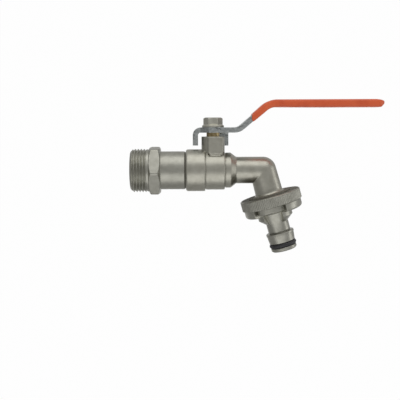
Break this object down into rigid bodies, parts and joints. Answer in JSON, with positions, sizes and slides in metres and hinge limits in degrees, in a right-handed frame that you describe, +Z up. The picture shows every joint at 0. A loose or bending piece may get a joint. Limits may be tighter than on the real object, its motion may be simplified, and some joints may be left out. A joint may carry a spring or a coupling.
{
  "type": "water butt tap",
  "caption": "Lever ball-valve tap with a threaded inlet, a tilted spout and a screwed-on snap adaptor for a hose.",
  "frame": {"origin": "on the inlet axis, where the inlet thread meets the hexagon", "axes": "+X along the inlet in the direction of flow, +Z up along the stem, +Y to the back"},
  "size_m": [0.1546, 0.0374, 0.094],
  "materials": {
    "nickel_plate": "satin nickel plate on brass",
    "stem_brass": "turned bare brass",
    "ball_chrome": "polished chrome plate",
    "seat_white": "white low-friction plastic",
    "seal_black": "black rubber",
    "lever_steel": "bright zinc plate",
    "nut_steel": "bright zinc plate",
    "grip_vinyl": "satin vinyl"
  },
  "bodies": {
    "tap_body": {"inlet_end": "nickel_plate", "body_seal": "seal_black", "spout_body": "nickel_plate", "inlet_seat": "seat_white", "outlet_seat": "seat_white", "hose_adaptor": "nickel_plate", "adaptor_washer": "seal_black", "adaptor_o_ring": "seal_black"},
    "lever_group": {"stem": "stem_brass", "ball": "ball_chrome", "thrust_washer": "seat_white", "lower_stem_o_ring": "seal_black", "upper_stem_o_ring": "seal_black", "lever": "lever_steel", "lever_grip": "grip_vinyl", "lever_nut": "nut_steel"}
  },
  "joints": [
    {"name": "lever_turn", "type": "hinge", "parent": "tap_body", "child": "lever_group", "pos_m": [0.03915, 0, 0.0206], "axis": [0, 0, 1], "range_deg": [-90, 0]}
  ]
}
